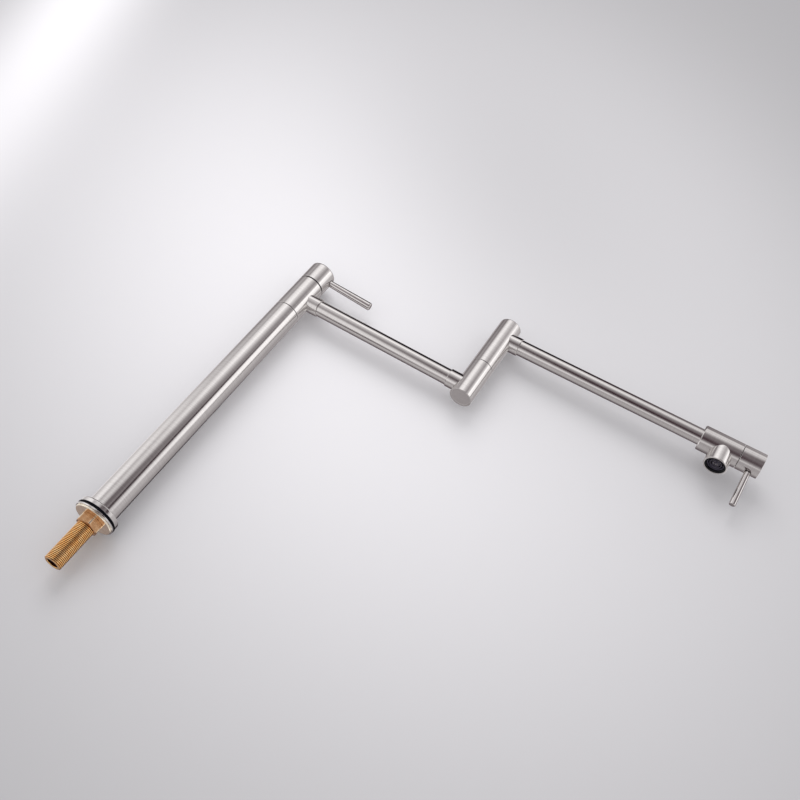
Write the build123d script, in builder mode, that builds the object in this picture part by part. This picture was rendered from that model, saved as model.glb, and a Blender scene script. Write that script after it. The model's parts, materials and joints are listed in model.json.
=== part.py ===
"""Deck-mounted pot filler with a jointed arm and two lever valves.

The origin is the centre of the hole in the deck, on the deck's top face. +Z runs up the
column and +X along the first arm. The second arm is swung slightly past straight.
"""

from build123d import *
from math import cos, radians, sin
import os

os.makedirs("parts", exist_ok=True)

# --- Driving dimensions (mm) ------------------------------------------------

# Column
column_radius = 17.5
column_wall = 1.5
column_top = 352.0
flange_radius = 23.6
flange_top = 9.0
flange_round = 3.5
foot_spigot_top = 30.0

# Fixing below and above the deck
thread_radius = 10.48           # G1/2 over the crests
thread_pitch = 1.814
thread_depth = 1.16
thread_flat = 0.3               # width of the flat on each crest
shank_bore = 6.5
shank_bottom = -64.75
shank_top = 16.8
hole_clearance = 0.2            # washers and gasket round the thread
gasket_radius = 24.2
gasket_height = 3.3
backing_thickness = 1.9
backing_chamfer = 0.6
clamp_radius = 23.0
clamp_thickness = 2.0
clamp_chamfer = 0.8
nut_across_flats = 25.0
nut_height = 10.7
nut_turn = -6.0                 # direction of the first corner, degrees
riser_radius = 6.0
riser_wall = 1.2
riser_low = 17.2
riser_high = 330.0

# Sleeve that carries the first arm
core_radius = 12.0
core_low = 322.0
running_gap = 0.06              # radial gap of every turning fit
fixed_gap = 0.05                # radial gap of every fixed fit
face_gap = 0.05                 # gap between faces that slide on each other
sleeve_low = 352.6
sleeve_top = 405.9
chamber_depth = 1.5
chamber_height = 11.6
glide_radius = 17.0
upper_glide_radius = 16.7
upper_glide_height = 1.15
ring_nut_radius = 15.0
ring_nut_height = 3.75
ring_nut_slot = 3.0
port_radius = 2.0
port_turn = 45.0                # direction of the first port, degrees
duct_radius = 1.2
duct_circle = 8.0
oring_section = 0.88
groove_width = 2.2
groove_depth = 1.85
sleeve_seal_heights = (361.0, 397.0)

# Column handle
cap_low = 407.4
cap_top = 436.0
cap_round = 2.0
cap_wall = 1.9
cap_ceiling = 421.5
top_lever_height = 426.9
top_lever_yaw = 4.0             # degrees, from +X towards +Y
top_lever_reach = 78.5
top_lever_root_radius = 4.2
top_lever_tip_radius = 5.1
top_lever_dome = 2.4
top_stud_radius = 2.5
top_socket_radius = 5.0
top_socket_depth = 2.0
lever_seat_gap = 0.1            # gap under each lever in its socket

# First arm
arm_radius = 10.2
arm_bore = 9.0
arm1_height = 382.8
arm1_length = 243.8             # column axis to knuckle axis
collar_radius = 11.5
arm1_sleeve_collar_end = 30.0
arm1_knuckle_collar_start = 217.5
blank_overlap = 8.0             # how far an arm's blank runs into what it is shaped to

# Knuckle
knuckle_radius = 14.6
knuckle_low = 364.5
knuckle_split = 419.5
knuckle_gap = 0.6
knuckle_top = 499.6
knuckle_round = 1.5
knuckle_ceiling = 495.0
guide_radius = 11.0
guide_low = 398.0
knuckle_chamber_radius = 12.4
plug_radius = 13.35
plug_seat = 367.5
plug_low = 364.6
plug_height = 6.0
plug_chamfer = 0.3
spigot_low = 395.4
spigot_top = 446.0
spigot_bore = 7.0
elbow_seal_heights = (403.0, 414.0)
circlip_low = 396.05
circlip_thickness = 1.2
circlip_radius = 12.0
circlip_width = 2.0
circlip_opening = 60.0          # degrees
elbow_glide_radius = 14.1
elbow_glide_inner = 11.3

# Second arm and outlet, measured from the knuckle axis
arm2_height = 476.1
arm2_yaw = -1.55                # degrees, from +X
arm2_collar_end = 25.1
outlet_radius = 15.8
outlet_start = 268.8
outlet_end = 317.8
outlet_cap_start = 318.4
outlet_cap_end = 345.3
outlet_chamfer = 1.0
arm2_socket_end = 276.0
seat_wall_start = 284.0
seat_wall_end = 288.0
outlet_chamber_radius = 12.5
nozzle_distance = 297.3
nozzle_radius = 14.2
nozzle_bore = 12.55
nozzle_throat = 10.0
nozzle_blank_top = 471.1        # inside the outlet, before it is shaped to it
nozzle_mouth = 445.8
nozzle_shoulder = 456.0
aerator_low = 446.6
aerator_high = 454.0
aerator_inner = 10.2
screen_low = 448.6
screen_high = 450.6
screen_rim = 1.25               # width of the straightener's outer ring
screen_middle_radius = 7.4
screen_middle_width = 1.3
screen_hub_radius = 4.5
spoke_width = 1.2
spoke_clearance = 0.5           # how far the spokes end inside the outer ring
outlet_lever_distance = 333.8
outlet_lever_swing = 10.7       # degrees, from straight down towards +Y
outlet_lever_reach = 62.5
outlet_lever_root_radius = 3.65
outlet_lever_tip_radius = 3.9
outlet_lever_edge = 0.8
outlet_stud_radius = 2.2
outlet_socket_radius = 4.6
outlet_socket_depth = 3.0
outlet_cap_chamfer = 0.5
outlet_cap_cavity = 13.0
outlet_cap_cavity_end = 321.6

# Quarter-turn valve, heights above its seat
seat_bore = 4.5
valve_seat = 401.0              # height of the column valve's seat
valve_pocket_radius = 10.3
valve_radius = 9.0
valve_cavity_radius = 8.2
valve_low = 1.3
disc_thickness = 2.0
fixed_disc_radius = 8.1
moving_disc_radius = 7.6
disc_hole_radius = 1.7
disc_hole_offset = 4.2
spindle_radius = 4.0
spindle_foot_radius = 7.4
spindle_foot_height = 3.0
spindle_tip_gap = 0.2           # gap over the spindle's end in its cap
valve_ceiling = 8.9
window_height = 6.6
window_radius = 1.6
neck_radius = 6.5
column_shelf = 13.5             # underside of the cartridge's flange
column_flange_radius = 11.5
column_flange_end = 16.5
column_neck_end = 20.0
column_spindle_end = 29.0
outlet_shelf = 15.0
outlet_flange_end = 29.0
outlet_neck_end = 33.0
outlet_spindle_end = 50.0
stud_tip = 4.1                  # distance of a lever's stud from its spindle's axis
overshoot = 1.0                 # how far a cut runs past the face it opens

# --- Axes and planes ----------------------------------------------------------

deck = Plane.XY
knuckle_axis_x = arm1_length
arm2_direction = Vector(cos(radians(arm2_yaw)), sin(radians(arm2_yaw)), 0)
arm2_side = Vector(-arm2_direction.Y, arm2_direction.X, 0)
knuckle_plane = Plane(origin=(knuckle_axis_x, 0, 0))
arm1_plane = Plane(origin=(0, 0, arm1_height), x_dir=(0, 1, 0), z_dir=(1, 0, 0))
arm1_back_plane = Plane(origin=(knuckle_axis_x, 0, arm1_height), x_dir=(0, 1, 0), z_dir=(-1, 0, 0))
arm2_plane = Plane(origin=(knuckle_axis_x, 0, arm2_height), x_dir=arm2_side, z_dir=arm2_direction)
nozzle_centre = arm2_plane.offset(nozzle_distance).origin
nozzle_plane = Plane(origin=(nozzle_centre.X, nozzle_centre.Y, 0))
top_lever_direction = Vector(cos(radians(top_lever_yaw)), sin(radians(top_lever_yaw)), 0)
top_lever_plane = Plane(origin=(0, 0, top_lever_height), z_dir=top_lever_direction)
outlet_lever_direction = (
    Vector(0, 0, -cos(radians(outlet_lever_swing))) + arm2_side * sin(radians(outlet_lever_swing))
)
outlet_lever_plane = Plane(
    origin=arm2_plane.offset(outlet_lever_distance).origin, z_dir=outlet_lever_direction
)


# --- Shared shapes ------------------------------------------------------------

# Disc or ring between two distances along a plane's normal, added to or cut from
# the piece that is being made.
def ring(plane, outer, low, high, inner=0, mode=Mode.ADD):
    with BuildSketch(plane.offset(low)) as section:
        Circle(outer)
        if inner:
            Circle(inner, mode=Mode.SUBTRACT)
    extrude(section.sketch, amount=high - low, mode=mode)


def bore(plane, radius, low, high):
    ring(plane, radius, low, high, mode=Mode.SUBTRACT)


# Solid of revolution round a plane's normal, from (height, radius) corners. The first and
# last corners lie on the axis.
def turned(plane, corners, mode=Mode.ADD):
    half_plane = Plane(origin=plane.origin, x_dir=plane.z_dir, z_dir=plane.y_dir)
    with BuildSketch(half_plane) as section:
        with BuildLine():
            Polyline(*corners, close=True)
        make_face()
    revolve(section.sketch, axis=Axis(plane.origin, plane.z_dir), mode=mode)


# Rubber ring of round section.
def oring(plane, height, outer):
    half_plane = Plane(origin=plane.offset(height).origin, x_dir=plane.x_dir, z_dir=plane.y_dir)
    with BuildSketch(half_plane) as section:
        with Locations((outer - oring_section, 0)):
            Circle(oring_section)
    revolve(section.sketch, axis=Axis(plane.origin, plane.z_dir))


def save(piece, name):
    piece.part.label = name
    export_step(piece.part, f"parts/{name}.step")


# --- Foot, column and fixing ----------------------------------------------------

with BuildPart() as base_body:
    ring(deck, flange_radius, gasket_height, flange_top)
    rim = base_body.edges().filter_by(GeomType.CIRCLE).sort_by(Axis.Z)[-1]
    fillet(rim, flange_round)
    ring(deck, column_radius - column_wall - fixed_gap, flange_top, foot_spigot_top)
    bore(deck, thread_radius + fixed_gap, gasket_height, shank_top)
    bore(deck, riser_radius + fixed_gap, shank_top, foot_spigot_top)
save(base_body, "base_body")

with BuildPart() as column_tube:
    ring(deck, column_radius, flange_top, column_top, inner=column_radius - column_wall)
save(column_tube, "column_tube")

# The thread is drawn as a row of equal ridges.
thread_turns = int((shank_top - shank_bottom) / thread_pitch)
thread_root = thread_radius - thread_depth
thread_slope = (thread_pitch - thread_flat) / 2
thread_corners = [(shank_bottom, shank_bore), (shank_bottom, thread_root)]
for turn in range(thread_turns):
    ridge_start = shank_bottom + turn * thread_pitch
    thread_corners.append((ridge_start + thread_slope, thread_radius))
    thread_corners.append((ridge_start + thread_slope + thread_flat, thread_radius))
    thread_corners.append((ridge_start + thread_pitch, thread_root))
thread_corners += [(shank_top, thread_root), (shank_top, shank_bore)]

with BuildPart() as mounting_shank:
    turned(deck, thread_corners)
save(mounting_shank, "mounting_shank")

fixing_hole = thread_radius + hole_clearance
with BuildPart() as deck_gasket:
    ring(deck, gasket_radius, 0, gasket_height, inner=fixing_hole)
save(deck_gasket, "deck_gasket")

with BuildPart() as backing_washer:
    ring(deck, gasket_radius, -backing_thickness, 0, inner=fixing_hole)
    outer_rim = backing_washer.edges().filter_by(GeomType.CIRCLE).sort_by(SortBy.RADIUS)[-2:]
    chamfer(outer_rim.sort_by(Axis.Z)[0], backing_chamfer)
save(backing_washer, "backing_washer")

clamp_low = -backing_thickness - clamp_thickness
with BuildPart() as clamp_washer:
    ring(deck, clamp_radius, clamp_low, -backing_thickness, inner=fixing_hole)
    outer_rim = clamp_washer.edges().filter_by(GeomType.CIRCLE).sort_by(SortBy.RADIUS)[-2:]
    chamfer(outer_rim.sort_by(Axis.Z)[0], clamp_chamfer)
save(clamp_washer, "clamp_washer")

nut_low = clamp_low - nut_height
nut_corner = nut_across_flats / 2 / cos(radians(30))
nut_bevel = nut_corner - nut_across_flats / 2
with BuildPart() as lock_nut:
    with BuildSketch(deck.offset(nut_low)):
        RegularPolygon(nut_corner, 6, rotation=nut_turn)
    extrude(amount=nut_height)
    turned(
        deck,
        [
            (nut_low, 0), (nut_low, nut_across_flats / 2), (nut_low + nut_bevel / 2, nut_corner),
            (clamp_low, nut_corner), (clamp_low, 0),
        ],
        mode=Mode.INTERSECT,
    )
    bore(deck, thread_radius + fixed_gap, nut_low, clamp_low)
save(lock_nut, "lock_nut")

with BuildPart() as riser_tube:
    ring(deck, riser_radius, riser_low, riser_high, inner=riser_radius - riser_wall)
save(riser_tube, "riser_tube")

# --- Valve core on the column, which the sleeve turns on --------------------------

ring_nut_low = sleeve_top + face_gap + upper_glide_height + face_gap
ring_nut_high = ring_nut_low + ring_nut_height
core_high = valve_seat + column_shelf

with BuildPart() as valve_body:
    ring(deck, column_radius - column_wall - fixed_gap, core_low, column_top)
    ring(deck, core_radius, column_top, core_high)
    bore(deck, riser_radius + fixed_gap, core_low, riser_high)
    bore(deck, seat_bore, riser_high, valve_seat)
    bore(deck, valve_pocket_radius, valve_seat, core_high)
    for height in sleeve_seal_heights:
        groove_low = height - groove_width / 2
        ring(
            deck, core_radius, groove_low, groove_low + groove_width,
            inner=core_radius - groove_depth, mode=Mode.SUBTRACT,
        )
    for quarter in range(4):
        angle = radians(port_turn + 90 * quarter)
        outward = Vector(cos(angle), sin(angle), 0)
        bore(Plane(origin=outward * duct_circle), duct_radius, arm1_height, valve_seat)
        port_plane = Plane(origin=(0, 0, arm1_height), z_dir=outward)
        bore(port_plane, port_radius, duct_circle - port_radius, core_radius + running_gap)
save(valve_body, "valve_body")

with BuildPart() as lower_glide_ring:
    ring(deck, glide_radius, column_top, sleeve_low - face_gap, inner=core_radius + fixed_gap)
save(lower_glide_ring, "lower_glide_ring")

with BuildPart() as upper_glide_ring:
    ring(
        deck, upper_glide_radius, sleeve_top + face_gap, ring_nut_low - face_gap,
        inner=core_radius + fixed_gap,
    )
save(upper_glide_ring, "upper_glide_ring")

# Ring nut with four spanner slots.
with BuildPart() as sleeve_ring_nut:
    ring(deck, ring_nut_radius, ring_nut_low, ring_nut_high, inner=core_radius + fixed_gap)
    with BuildSketch(deck.offset(ring_nut_high)):
        with PolarLocations(ring_nut_radius, 4):
            Rectangle(ring_nut_slot, ring_nut_slot)
    extrude(amount=-ring_nut_height / 2, mode=Mode.SUBTRACT)
save(sleeve_ring_nut, "sleeve_ring_nut")

for height, name in zip(sleeve_seal_heights, ("sleeve_oring_lower", "sleeve_oring_upper")):
    with BuildPart() as sleeve_oring:
        oring(deck, height, core_radius - running_gap / 3)
    save(sleeve_oring, name)

# --- Quarter-turn valves: one in the column, one in the outlet ----------------------


# Valve of seal, body, two ceramic discs and spindle on a seat plane. The body's flange runs
# from shelf to flange_end, its neck to neck_end and the spindle to spindle_end.
def build_valve(seat, prefix, shelf, flange, flange_end, neck_end, spindle_end):
    moving_low = valve_low + disc_thickness + face_gap
    foot_low = moving_low + disc_thickness + face_gap
    foot_high = foot_low + spindle_foot_height

    with BuildPart() as seat_seal:
        ring(seat, (seat_bore + valve_radius) / 2, 0, valve_low - face_gap, inner=seat_bore)
    save(seat_seal, f"{prefix}_seat_seal")

    with BuildPart() as cartridge:
        ring(seat, valve_radius, valve_low, shelf)
        ring(seat, flange, shelf, flange_end)
        ring(seat, neck_radius, flange_end, neck_end)
        bore(seat, valve_cavity_radius, valve_low, valve_ceiling)
        bore(seat, spindle_radius + running_gap, valve_ceiling, neck_end)
        for quarter in range(4):
            angle = radians(90 * quarter)
            outward = seat.x_dir * cos(angle) + seat.y_dir * sin(angle)
            window_plane = Plane(origin=seat.offset(window_height).origin, z_dir=outward)
            bore(window_plane, window_radius, spindle_radius, valve_radius + overshoot)
    save(cartridge, f"{prefix}_cartridge")

    for name, low, radius in (
        (f"{prefix}_fixed_disc", valve_low, fixed_disc_radius),
        (f"{prefix}_moving_disc", moving_low, moving_disc_radius),
    ):
        with BuildPart() as disc:
            ring(seat, radius, low, low + disc_thickness)
            for side in (-1, 1):
                hole_plane = Plane(
                    origin=seat.origin + seat.x_dir * (side * disc_hole_offset),
                    x_dir=seat.x_dir, z_dir=seat.z_dir,
                )
                bore(hole_plane, disc_hole_radius, low, low + disc_thickness)
        save(disc, name)

    with BuildPart() as spindle:
        ring(seat, spindle_foot_radius, foot_low, foot_high)
        ring(seat, spindle_radius, foot_high, spindle_end)
    save(spindle, f"{prefix}_spindle")


build_valve(
    deck.offset(valve_seat), "column", shelf=column_shelf, flange=column_flange_radius,
    flange_end=column_flange_end, neck_end=column_neck_end, spindle_end=column_spindle_end,
)
build_valve(
    arm2_plane.offset(seat_wall_end), "outlet", shelf=outlet_shelf,
    flange=outlet_chamber_radius - fixed_gap,
    flange_end=outlet_flange_end, neck_end=outlet_neck_end, spindle_end=outlet_spindle_end,
)

# --- Column handle --------------------------------------------------------------

top_cap_floor = column_radius - top_socket_depth
top_spindle_hole = valve_seat + column_spindle_end + spindle_tip_gap
with BuildPart() as top_cap:
    ring(deck, column_radius, cap_low, cap_top)
    rim = top_cap.edges().filter_by(GeomType.CIRCLE).sort_by(Axis.Z)[-1]
    fillet(rim, cap_round)
    bore(deck, column_radius - cap_wall, cap_low, cap_ceiling)
    bore(deck, spindle_radius + fixed_gap, cap_ceiling, top_spindle_hole)
    bore(top_lever_plane, top_stud_radius + fixed_gap, spindle_radius, column_radius)
    bore(top_lever_plane, top_socket_radius, top_cap_floor, column_radius + overshoot)
save(top_cap, "top_cap")

top_lever_start = top_cap_floor + lever_seat_gap
with BuildPart() as top_lever:
    turned(
        top_lever_plane,
        [
            (stud_tip, 0), (stud_tip, top_stud_radius), (top_lever_start, top_stud_radius),
            (top_lever_start, top_lever_root_radius), (top_lever_reach, top_lever_tip_radius),
            (top_lever_reach, 0),
        ],
    )
    tip_edge = top_lever.edges().filter_by(GeomType.CIRCLE).sort_by(Axis.X)[-1]
    fillet(tip_edge, top_lever_dome)
save(top_lever, "top_lever")

# --- First arm ------------------------------------------------------------------

with BuildPart() as swivel_sleeve:
    ring(deck, column_radius, sleeve_low, sleeve_top, inner=core_radius + running_gap)
    chamber_low = arm1_height - chamber_height / 2
    bore(deck, core_radius + chamber_depth, chamber_low, chamber_low + chamber_height)
    bore(arm1_plane, arm_bore, core_radius / 2, column_radius + overshoot)
save(swivel_sleeve, "swivel_sleeve")

column_cut = column_radius + fixed_gap
knuckle_cut = knuckle_radius + fixed_gap

with BuildPart() as arm1_tube:
    ring(arm1_plane, arm_radius, column_radius - blank_overlap, arm1_length - blank_overlap, inner=arm_bore)
    bore(deck, column_cut, sleeve_low, sleeve_top)
    bore(knuckle_plane, knuckle_cut, knuckle_low, knuckle_split)
save(arm1_tube, "arm1_tube")

with BuildPart() as arm1_sleeve_collar:
    ring(
        arm1_plane, collar_radius, column_radius - blank_overlap, arm1_sleeve_collar_end,
        inner=arm_radius + fixed_gap,
    )
    bore(deck, column_cut, sleeve_low, sleeve_top)
save(arm1_sleeve_collar, "arm1_sleeve_collar")

with BuildPart() as arm1_knuckle_collar:
    ring(
        arm1_plane, collar_radius, arm1_knuckle_collar_start, arm1_length - blank_overlap,
        inner=arm_radius + fixed_gap,
    )
    bore(knuckle_plane, knuckle_cut, knuckle_low, knuckle_split)
save(arm1_knuckle_collar, "arm1_knuckle_collar")

with BuildPart() as knuckle_lower:
    ring(knuckle_plane, knuckle_radius, knuckle_low, knuckle_split)
    bore(knuckle_plane, plug_radius + fixed_gap, knuckle_low, plug_seat)
    bore(knuckle_plane, knuckle_chamber_radius, plug_seat, guide_low)
    bore(knuckle_plane, guide_radius, guide_low, knuckle_split)
    bore(arm1_back_plane, arm_bore, guide_radius, knuckle_radius + overshoot)
save(knuckle_lower, "knuckle_lower")

with BuildPart() as knuckle_plug:
    ring(knuckle_plane, plug_radius, plug_low, plug_seat)
    rim = knuckle_plug.edges().filter_by(GeomType.CIRCLE).sort_by(Axis.Z)[0]
    chamfer(rim, plug_chamfer)
    ring(knuckle_plane, knuckle_chamber_radius - fixed_gap, plug_seat, plug_low + plug_height)
save(knuckle_plug, "knuckle_plug")

# --- Knuckle: the second arm turns in the first ------------------------------------

knuckle_upper_low = knuckle_split + knuckle_gap
with BuildPart() as knuckle_upper:
    ring(knuckle_plane, knuckle_radius, knuckle_upper_low, knuckle_top)
    rim = knuckle_upper.edges().filter_by(GeomType.CIRCLE).sort_by(Axis.Z)[-1]
    fillet(rim, knuckle_round)
    bore(knuckle_plane, guide_radius, knuckle_upper_low, knuckle_ceiling)
    bore(arm2_plane, arm_bore, guide_radius / 2, knuckle_radius + overshoot)
save(knuckle_upper, "knuckle_upper")

spigot_radius = guide_radius - running_gap
circlip_seat = circlip_radius - circlip_width
with BuildPart() as elbow_spigot:
    ring(knuckle_plane, spigot_radius, spigot_low, spigot_top, inner=spigot_bore)
    for height in elbow_seal_heights:
        groove_low = height - groove_width / 2
        ring(
            knuckle_plane, guide_radius, groove_low, groove_low + groove_width,
            inner=spigot_radius - groove_depth, mode=Mode.SUBTRACT,
        )
    ring(
        knuckle_plane, guide_radius, circlip_low - face_gap, circlip_low + circlip_thickness + face_gap,
        inner=circlip_seat, mode=Mode.SUBTRACT,
    )
save(elbow_spigot, "elbow_spigot")

with BuildPart() as elbow_circlip:
    ring(
        knuckle_plane, circlip_radius, circlip_low, circlip_low + circlip_thickness,
        inner=circlip_seat + fixed_gap,
    )
    opening_half = circlip_radius * sin(radians(circlip_opening / 2))
    with BuildSketch(knuckle_plane.offset(circlip_low)):
        with Locations((circlip_radius, 0)):
            Rectangle(circlip_radius, 2 * opening_half)
    extrude(amount=circlip_thickness, mode=Mode.SUBTRACT)
save(elbow_circlip, "elbow_circlip")

with BuildPart() as elbow_glide_ring:
    ring(
        knuckle_plane, elbow_glide_radius, knuckle_split, knuckle_upper_low - face_gap,
        inner=elbow_glide_inner,
    )
save(elbow_glide_ring, "elbow_glide_ring")

for height, name in zip(elbow_seal_heights, ("elbow_oring_lower", "elbow_oring_upper")):
    with BuildPart() as elbow_oring:
        oring(knuckle_plane, height, spigot_radius - running_gap / 3)
    save(elbow_oring, name)

# --- Second arm -----------------------------------------------------------------

with BuildPart() as arm2_tube:
    ring(arm2_plane, arm_radius, blank_overlap, arm2_socket_end, inner=arm_bore)
    bore(knuckle_plane, knuckle_cut, knuckle_upper_low, knuckle_top)
save(arm2_tube, "arm2_tube")

with BuildPart() as arm2_collar:
    ring(arm2_plane, collar_radius, blank_overlap, arm2_collar_end, inner=arm_radius + fixed_gap)
    bore(knuckle_plane, knuckle_cut, knuckle_upper_low, knuckle_top)
save(arm2_collar, "arm2_collar")

# --- Outlet ---------------------------------------------------------------------

with BuildPart() as outlet_body:
    ring(arm2_plane, outlet_radius, outlet_start, outlet_end)
    rim = outlet_body.edges().filter_by(GeomType.CIRCLE).sort_by(Axis.X)[0]
    chamfer(rim, outlet_chamfer)
    bore(arm2_plane, arm_radius + fixed_gap, outlet_start, arm2_socket_end)
    bore(arm2_plane, arm_bore, arm2_socket_end, seat_wall_start)
    bore(arm2_plane, seat_bore, seat_wall_start, seat_wall_end)
    bore(arm2_plane, outlet_chamber_radius, seat_wall_end, outlet_end)
    bore(
        nozzle_plane, nozzle_throat,
        arm2_height - outlet_radius - overshoot, arm2_height - valve_radius,
    )
save(outlet_body, "outlet_body")

with BuildPart() as nozzle:
    ring(nozzle_plane, nozzle_radius, nozzle_mouth, nozzle_blank_top)
    bore(nozzle_plane, nozzle_bore, nozzle_mouth, nozzle_shoulder)
    bore(nozzle_plane, nozzle_throat, nozzle_shoulder, arm2_height)
    bore(arm2_plane, outlet_radius + fixed_gap, outlet_start, outlet_end)
save(nozzle, "nozzle")

with BuildPart() as aerator_housing:
    ring(nozzle_plane, nozzle_bore - fixed_gap, aerator_low, aerator_high, inner=aerator_inner)
save(aerator_housing, "aerator_housing")

# Flow straightener: three rings held by six spokes.
screen_radius = aerator_inner - fixed_gap
screen_rings = (
    (screen_radius, screen_radius - screen_rim),
    (screen_middle_radius, screen_middle_radius - screen_middle_width),
    (screen_hub_radius, 0),
)
with BuildPart() as aerator_screen:
    for outer, inner in screen_rings:
        ring(nozzle_plane, outer, screen_low, screen_high, inner=inner)
    with BuildSketch(nozzle_plane.offset(screen_low)):
        with PolarLocations(0, 3):
            Rectangle(2 * (screen_radius - spoke_clearance), spoke_width)
    extrude(amount=screen_high - screen_low)
save(aerator_screen, "aerator_screen")

with BuildPart() as aerator_seal:
    ring(nozzle_plane, nozzle_bore - fixed_gap, aerator_high + face_gap, nozzle_shoulder, inner=nozzle_throat)
save(aerator_seal, "aerator_seal")

# --- Outlet handle --------------------------------------------------------------

outlet_cap_floor = outlet_radius - outlet_socket_depth
outlet_spindle_hole = seat_wall_end + outlet_spindle_end + spindle_tip_gap
with BuildPart() as outlet_cap:
    ring(arm2_plane, outlet_radius, outlet_cap_start, outlet_cap_end)
    rim = outlet_cap.edges().filter_by(GeomType.CIRCLE).sort_by(Axis.X)[-1]
    chamfer(rim, outlet_cap_chamfer)
    bore(arm2_plane, outlet_cap_cavity, outlet_cap_start, outlet_cap_cavity_end)
    bore(arm2_plane, spindle_radius + fixed_gap, outlet_cap_cavity_end, outlet_spindle_hole)
    bore(outlet_lever_plane, outlet_stud_radius + fixed_gap, spindle_radius, outlet_radius)
    bore(outlet_lever_plane, outlet_socket_radius, outlet_cap_floor, outlet_radius + overshoot)
save(outlet_cap, "outlet_cap")

outlet_lever_start = outlet_cap_floor + lever_seat_gap
with BuildPart() as outlet_lever:
    turned(
        outlet_lever_plane,
        [
            (stud_tip, 0), (stud_tip, outlet_stud_radius), (outlet_lever_start, outlet_stud_radius),
            (outlet_lever_start, outlet_lever_root_radius), (outlet_lever_reach, outlet_lever_tip_radius),
            (outlet_lever_reach, 0),
        ],
    )
    tip_edge = outlet_lever.edges().filter_by(GeomType.CIRCLE).sort_by(Axis.Z)[0]
    fillet(tip_edge, outlet_lever_edge)
save(outlet_lever, "outlet_lever")
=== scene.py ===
# Deck-mounted pot filler, laid on a pale surface in soft studio light.
# Sizes in the dictionaries are millimetres, as in the part; meshes are scaled to metres.
import json
from math import acos, atan2, cos, pi, radians, sin, sqrt, tan

import bmesh
import bpy
from mathutils import Matrix, Vector


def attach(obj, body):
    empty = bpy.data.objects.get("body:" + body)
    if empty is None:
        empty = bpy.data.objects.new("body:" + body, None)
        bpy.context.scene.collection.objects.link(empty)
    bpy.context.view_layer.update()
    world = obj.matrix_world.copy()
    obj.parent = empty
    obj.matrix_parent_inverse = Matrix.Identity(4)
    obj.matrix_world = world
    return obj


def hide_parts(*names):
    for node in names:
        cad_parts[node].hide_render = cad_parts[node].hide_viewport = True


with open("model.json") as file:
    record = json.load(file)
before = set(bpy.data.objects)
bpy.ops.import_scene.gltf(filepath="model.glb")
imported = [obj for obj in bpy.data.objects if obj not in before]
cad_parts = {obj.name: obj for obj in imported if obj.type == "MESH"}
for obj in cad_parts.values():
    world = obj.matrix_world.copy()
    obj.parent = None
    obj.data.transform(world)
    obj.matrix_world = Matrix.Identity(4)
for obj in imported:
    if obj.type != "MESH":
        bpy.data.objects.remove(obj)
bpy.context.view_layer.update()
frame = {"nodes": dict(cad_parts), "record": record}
scene = bpy.context.scene
scene.view_settings.view_transform = "Standard"
mm = 0.001
upright = (0.0, 0.0, 1.0)
print("frame loaded,", len(frame["nodes"]), "nodes")


class Signal:  # a number, colour or vector on its way through a node tree
    def __init__(self, recipe, socket):
        self.recipe = recipe
        self.socket = socket

    def worked(self, operation, first, second):
        kinds = [item.socket.type for item in (first, second) if isinstance(item, Signal)]
        if "RGBA" in kinds:
            return self.recipe.blend(1.0, first, second, operation)
        if "VECTOR" in kinds or isinstance(first, tuple) or isinstance(second, tuple):
            values = {0: asVector(first), 1: asVector(second)}
            return self.recipe.node("ShaderNodeVectorMath", {"operation": operation}, values)
        return self.recipe.node("ShaderNodeMath", {"operation": operation}, {0: first, 1: second})

    def __add__(self, other):
        return self.worked("ADD", self, other)

    def __radd__(self, other):
        return self.worked("ADD", other, self)

    def __sub__(self, other):
        return self.worked("SUBTRACT", self, other)

    def __rsub__(self, other):
        return self.worked("SUBTRACT", other, self)

    def __mul__(self, other):
        return self.worked("MULTIPLY", self, other)

    def __rmul__(self, other):
        return self.worked("MULTIPLY", other, self)

    def __truediv__(self, other):
        return self.worked("DIVIDE", self, other)

    def __rtruediv__(self, other):
        return self.worked("DIVIDE", other, self)

    def clipped(self):  # no lower than 0 and no higher than 1
        settings = {"operation": "ADD", "use_clamp": True}
        return self.recipe.node("ShaderNodeMath", settings, {0: self, 1: 0.0})

    def made(self, operation, other=0.0):
        return self.recipe.node("ShaderNodeMath", {"operation": operation}, {0: self, 1: other})

    def ramped(self, low, high):  # 0 at low, 1 at high, smooth between
        settings = {"interpolation_type": "SMOOTHSTEP"}
        values = {"Value": self, "From Min": low, "From Max": high}
        return self.recipe.node("ShaderNodeMapRange", settings, values)

    def along(self, direction):
        settings = {"operation": "DOT_PRODUCT"}
        return self.recipe.node("ShaderNodeVectorMath", settings, {0: self, 1: direction}, "Value")


def asColour(value):
    if isinstance(value, Signal):
        return value
    if isinstance(value, tuple):
        return (*value[:3], 1.0)
    return (value, value, value, 1.0)


def asVector(value):
    if isinstance(value, (Signal, tuple)):
        return value
    return (value, value, value)


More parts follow.
